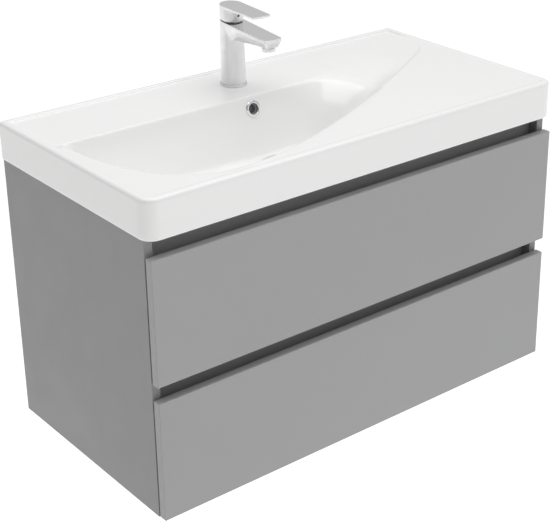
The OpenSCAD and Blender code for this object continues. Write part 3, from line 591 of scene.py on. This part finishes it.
# heights are above the deck, and the spout and lever reach towards -Y
TOP = 122.0                                  # the body's top on its axis
FALL = math.tan(math.radians(4.2))           # its slope down to the front
BODY_R, FOOT_R, NECK_R = 21.5, 23.0, 19.4
TIP = 19.0                                   # half the width of the spout's and the lever's tip
SPOUT_REACH, LEVER_REACH = 127.0, 95.0
SPOUT_T = 17.4
ROOT = 34.0                                  # height over which the spout runs out into the column
PIVOT = TOP + 2
HUB = TOP + 3                                # the lever hub's underside, which dips by HUB_DIP at the front
HUB_DIP = 2.8
LIFT = math.radians(25)                      # the lever's travel, for which the hub's underside is cut away behind
LEVER_TOP, LEVER_FALL = TOP + 29.93, math.tan(math.radians(2.2))
AT = (TAP[0], TAP[1], Z_DECK)
FAR = 550                                    # a profile height that the warps below turn into a sloping face


def tongue(r, half, reach, corner, bow=1.2):
    """A plan with a half-round back that narrows to a tip with rounded corners, always of as many points."""
    pts = [(r * math.cos(a), r * math.sin(a)) for a in np.linspace(0, math.pi, 41)]
    edge, cy = half - corner, -reach + corner + bow
    pts += [tuple(np.array((-r, 0)) + (np.array((-half, cy)) - (-r, 0)) * t) for t in np.linspace(0, 1, 17)[1:]]
    pts += [(-edge + corner * math.cos(a), cy + corner * math.sin(a))
            for a in np.linspace(math.pi, 1.5 * math.pi, 11)[1:]]
    pts += [(x, -reach + bow * (x / edge) ** 2) for x in np.linspace(-edge, edge, 13)[1:-1]]
    pts += [(edge + corner * math.cos(a), cy + corner * math.sin(a))
            for a in np.linspace(1.5 * math.pi, 2 * math.pi, 11)[:-1]]
    pts += [tuple(np.array((half, cy)) + (np.array((r, 0)) - (half, cy)) * t) for t in np.linspace(0, 1, 17)[:-1]]
    return np.array(pts)


def inset_tongue(r, half, reach, corner, by):
    return tongue(r - by, half - by, reach - by, max(corner - by, 0.4))


def ring_at(plan, z_of_y, drop):
    return [(x, y, z_of_y(y) - drop) for x, y in plan]


def plate(r, half, reach, corner, z_top, side_drop, low_inset, low_drop, arris=0.7, root=0.0):
    """A tongue with eased upper edges, upright sides, and lower edges that lean inwards.

    Near its round back the sides may run down into a column instead, over a height of root.
    """
    outer = tongue(r, half, reach, corner)
    into = smooth((outer[:, 1] + r + 22) / 22) if root else np.zeros(len(outer))

    def ring(by, drop, share):
        rows = []
        for (x, y), (x0, y0), w in zip(inset_tongue(r, half, reach, corner, by), outer, into):
            down = (1 - share) + share * (r - 1.6) / max(math.hypot(x0, y0), r)
            rows.append((mix(x, x0 * down, w), mix(y, y0 * down, w),
                         z_top(y) - mix(drop(y), arris + root * share, w)))
        return rows

    rings = [ring_at(inset_tongue(r, half, reach, corner, arris + 1.5), z_top, 0.0)]
    for a in (0, 22, 45, 68, 90):
        t = math.radians(a)
        rings.append(ring_at(inset_tongue(r, half, reach, corner, arris * (1 - math.sin(t))), z_top,
                             arris * (1 - math.cos(t))))
    rings.append(ring(0.02, lambda y: side_drop(y) - 0.5, 0.33))
    rings.append(ring(0.15, lambda y: side_drop(y) - 0.1, 0.5))
    rings.append(ring(0.6, lambda y: side_drop(y) + 0.35, 0.67))
    rings.append(ring(low_inset - 0.8, lambda y: low_drop(y) - 0.6, 0.85))
    rings.append(ring(low_inset, low_drop, 1.0))
    return [p for one in rings for p in one], loops_to_faces(len(rings), len(rings[0]), True, True)


def joined(parts):
    """Several (vertices, faces) as one."""
    verts, faces = [], []
    for v, f in parts:
        s = len(verts)
        verts += list(v)
        faces += [tuple(i + s for i in p) for p in f]
    return verts, faces


def body_top(y):
    return TOP + y * FALL


def body_warp(p):
    """The column's two highest rings follow the sloping top, just under it and 9 mm under it."""
    x, y, z = p
    return [x, y, body_top(y) - 0.7] if z > 500 else ([x, y, body_top(y) - 9] if z > 400 else p)


spout = plate(BODY_R, TIP, SPOUT_REACH, 5.0, body_top, lambda y: 8.0 - 2.4 * min(1, max(0, -y - 20) / 105),
              6.5, lambda y: SPOUT_T, root=ROOT)
column = lathe([(15.5, 4.0), (FOOT_R - 0.5, 4.0), (FOOT_R - 0.15, 4.15), (FOOT_R, 4.5), (FOOT_R - 0.02, 6.0),
                (BODY_R + 0.12, FAR - 100), (BODY_R + 0.02, FAR), (0.0, FAR)], 96, body_warp)
v, f = joined([spout, column])
add("mixer_body", moved(v, AT), f, "chrome", "cabinet", ["tap_body"])

profile = [(15.5, 0.0), (25.0, 0.0)] + arc(24.5, 0.9, 0.9, -90, 0, 4) + [(25.4, 2.0)] \
    + arc(24.0, 2.6, 1.4, 0, 90, 6) + [(23.6, 4.0), (15.5, 4.0)]
v, f = lathe(profile)
add("mixer_foot", moved(v, AT), f, "chrome", "cabinet", ["tap_base_ring"])

profile = [(NECK_R * math.cos(a), NECK_R * math.sin(a)) for a in np.linspace(math.acos(13 / NECK_R), 0, 16)] \
    + [(NECK_R, -4), (NECK_R, -8.7), (16.9, -8.7), (16.9, 0), (13.0, 10), (13.0, 14.4)]
v, f = lathe(profile)
# the neck is chrome painted dark, as painted shade for the gap under the lever hub
add("mixer_neck", moved(v, (AT[0], AT[1], AT[2] + PIVOT)), f, "chrome", "cabinet", ["tap_dome"],
    mat=PAINTED_SHADE_CHROME)

lo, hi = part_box("tap_aerator")
aerator = ((lo.x + hi.x) / 2 / MM, (lo.y + hi.y) / 2 / MM, lo.z / MM)
profile = [(8.6, 3.5), (9.0, 1.2), (9.4, 0.5), (10.2, 0.05), (11.2, 0.0)] + arc(11.2, 0.8, 0.8, -90, 0, 4) \
    + [(12.0, 5.6)] + arc(11.4, 6.1, 0.6, 0, 90, 4) + [(10.6, 6.8), (10.4, 15.0)]
v, f = lathe(profile)
add("aerator_shell", moved(v, aerator), f, "chrome", "cabinet")
v, f = lathe([(0, 3.4), (2.2, 3.1), (4.4, 3.3), (6.4, 3.1), (8.7, 3.3), (8.7, 9.0), (0, 9.0)], 72)
add("aerator_screen", moved(v, aerator), f, "grey_plastic", "cabinet", ["tap_aerator"])


def lever_top(y):
    return LEVER_TOP + y * LEVER_FALL


def hub_warp(p):
    """The hub's top ring follows the blade, and its underside is shaped for the lever's travel."""
    x, y, z = p
    if z > 500:
        return [x, y, lever_top(y) - 0.8]
    if z < -1:
        under = y * (math.tan(LIFT) if y > 0 else HUB_DIP / BODY_R)
        return [x, y, HUB + (-z - 10) + under]
    return p


blade = plate(BODY_R, TIP, LEVER_REACH, 4.5, lever_top,
              lambda y: 3.3 + 1.2 * max(0, 1 + min(0, y) / LEVER_REACH), 6.0,
              lambda y: 4.4 + 4.6 * max(0, 1 + min(0, y + 20) / 75))
hub = lathe([(19.95, -14.0), (19.95, -10.5), (20.4, -10.1), (21.0, -10.0), (21.4, -10.15), (BODY_R, -10.6),
             (BODY_R, -13.0), (BODY_R + 0.03, FAR), (0, FAR)], 96, hub_warp)
v, f = joined([blade, hub])
add("mixer_lever_blade", moved(v, AT), f, "chrome", "mixer_lever", ["tap_lever"])

lo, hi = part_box("tap_index_cap")
dot_z, dot_r = (lo.z + hi.z) / 2 / MM, (hi.x - lo.x) / 2 / MM
profile = [(0, 0.25), (dot_r * 0.5, 0.2), (dot_r * 0.85, 0.05), (dot_r, -0.25), (dot_r, -1.3), (0, -1.3)]
v, f = lathe(profile, 48)
add("index_dot", moved(v, (AT[0], AT[1] - BODY_R - 0.05, dot_z), Matrix.Rotation(math.radians(90), 4, "X")), f,
    "index_red", "mixer_lever", ["tap_index_cap"])


# ---------------------------------------------------------------- carried-over CAD nodes

for part in frame["record"]["subparts"]:
    o = NODES[part["node"]]
    if not o.hide_render:
        o.data.materials.clear()
        o.data.materials.append(MATS[part["material_slot"]])


# ---------------------------------------------------------------- stage, lights, camera

FLOOR_Z, FLOOR_SIZE, FLOOR_GLOW = -0.9, 14, 0.47     # well below: the cabinet hangs on a wall
SKY = 0.76

bm = bmesh.new()
bmesh.ops.create_grid(bm, x_segments=2, y_segments=2, size=FLOOR_SIZE)
me = bpy.data.meshes.new("floor")
bm.to_mesh(me)
bm.free()
floor = bpy.data.objects.new("floor", me)
floor.location = (0, 0, FLOOR_Z)
bpy.context.scene.collection.objects.link(floor)
m, nt, b = material("floor", (0.95, 0.95, 0.95), 0.9, specular=0.0)
tint(nt, noise(nt, 0.5, 1), (0.945, 0.945, 0.945), (0.955, 0.955, 0.955), b.inputs["Base Color"])
b.inputs["Emission Color"].default_value = (1, 1, 1, 1)
b.inputs["Emission Strength"].default_value = FLOOR_GLOW
me.materials.append(m)


def sky():
    """An even studio sky, brighter overhead, and darker from the front left than from the rest."""
    world = bpy.data.worlds.new("studio")
    bpy.context.scene.world = world
    world.use_nodes = True
    nt = world.node_tree
    bg = nt.nodes["Background"]
    co = nt.nodes.new("ShaderNodeTexCoord")
    split = nt.nodes.new("ShaderNodeSeparateXYZ")
    ramp = nt.nodes.new("ShaderNodeValToRGB")
    side = nt.nodes.new("ShaderNodeVectorMath")
    level = nt.nodes.new("ShaderNodeMapRange")
    nt.links.new(co.outputs["Generated"], split.inputs["Vector"])
    nt.links.new(split.outputs["Z"], ramp.inputs["Fac"])
    nt.links.new(ramp.outputs["Color"], bg.inputs["Color"])
    ends = ramp.color_ramp.elements
    ends[0].color = (0.7, 0.7, 0.7, 1)
    ends[1].color = (1, 1, 1, 1)
    for height, value in ((0.38, 0.74), (0.6, 0.78)):
        ramp.color_ramp.elements.new(height).color = (value, value, value, 1)
    side.operation = "DOT_PRODUCT"
    side.inputs[1].default_value = (0.92, 0.39, 0.0)
    nt.links.new(co.outputs["Generated"], side.inputs[0])
    level.inputs["From Min"].default_value = -1.0
    level.inputs["From Max"].default_value = 0.1
    level.inputs["To Min"].default_value = SKY * 0.31
    level.inputs["To Max"].default_value = SKY
    nt.links.new(side.outputs["Value"], level.inputs["Value"])
    nt.links.new(level.outputs["Result"], bg.inputs["Strength"])


def soft_box(name, location, target, size, power, seen):
    """A wide soft light, which glossy surfaces mirror only if it is seen."""
    d = bpy.data.lights.new(name, "AREA")
    d.shape = "SQUARE"
    d.size = size
    d.energy = power
    o = bpy.data.objects.new(name, d)
    o.location = location
    o.rotation_euler = (Vector(target) - Vector(location)).to_track_quat("-Z", "Y").to_euler()
    o.visible_glossy = seen
    bpy.context.scene.collection.objects.link(o)


sky()
soft_box("overhead", (0.1, -0.1, 3.2), (0, 0, 0.5), 3.2, 50, True)
soft_box("fill", (0.9, -4.0, 2.4), (0, 0, 0.3), 3.0, 12, False)

# the view: angles in degrees, focal length in pixels of an image IMAGE_W wide
LENS = {"pos": (-1.4648, -1.8862, 1.3973), "yaw": 39.67, "pitch": 23.36, "roll": -0.08, "f": 1409.5, "shift": 0.1}
IMAGE_W, SENSOR_W = 550, 36.0
cam = bpy.data.cameras.new("camera")
cam.sensor_fit = "HORIZONTAL"
cam.sensor_width = SENSOR_W
cam.lens = LENS["f"] / IMAGE_W * SENSOR_W
cam.shift_x = cam.shift_y = -LENS["shift"]
cam.clip_end = 60
cam.clip_start = 0.02
cam.dof.use_dof = False
camera = bpy.data.objects.new("camera", cam)
bpy.context.scene.collection.objects.link(camera)
camera.location = LENS["pos"]
camera.rotation_euler = (
    Matrix.Rotation(math.radians(-LENS["yaw"]), 3, "Z")
    @ Matrix.Rotation(math.radians(90 - LENS["pitch"]), 3, "X")
    @ Matrix.Rotation(math.radians(LENS["roll"]), 3, "Z")
).to_euler()
bpy.context.scene.camera = camera
bpy.context.scene.view_settings.view_transform = "Standard"
bpy.context.scene.view_settings.look = "None"
bpy.context.scene.view_settings.exposure = 0.0
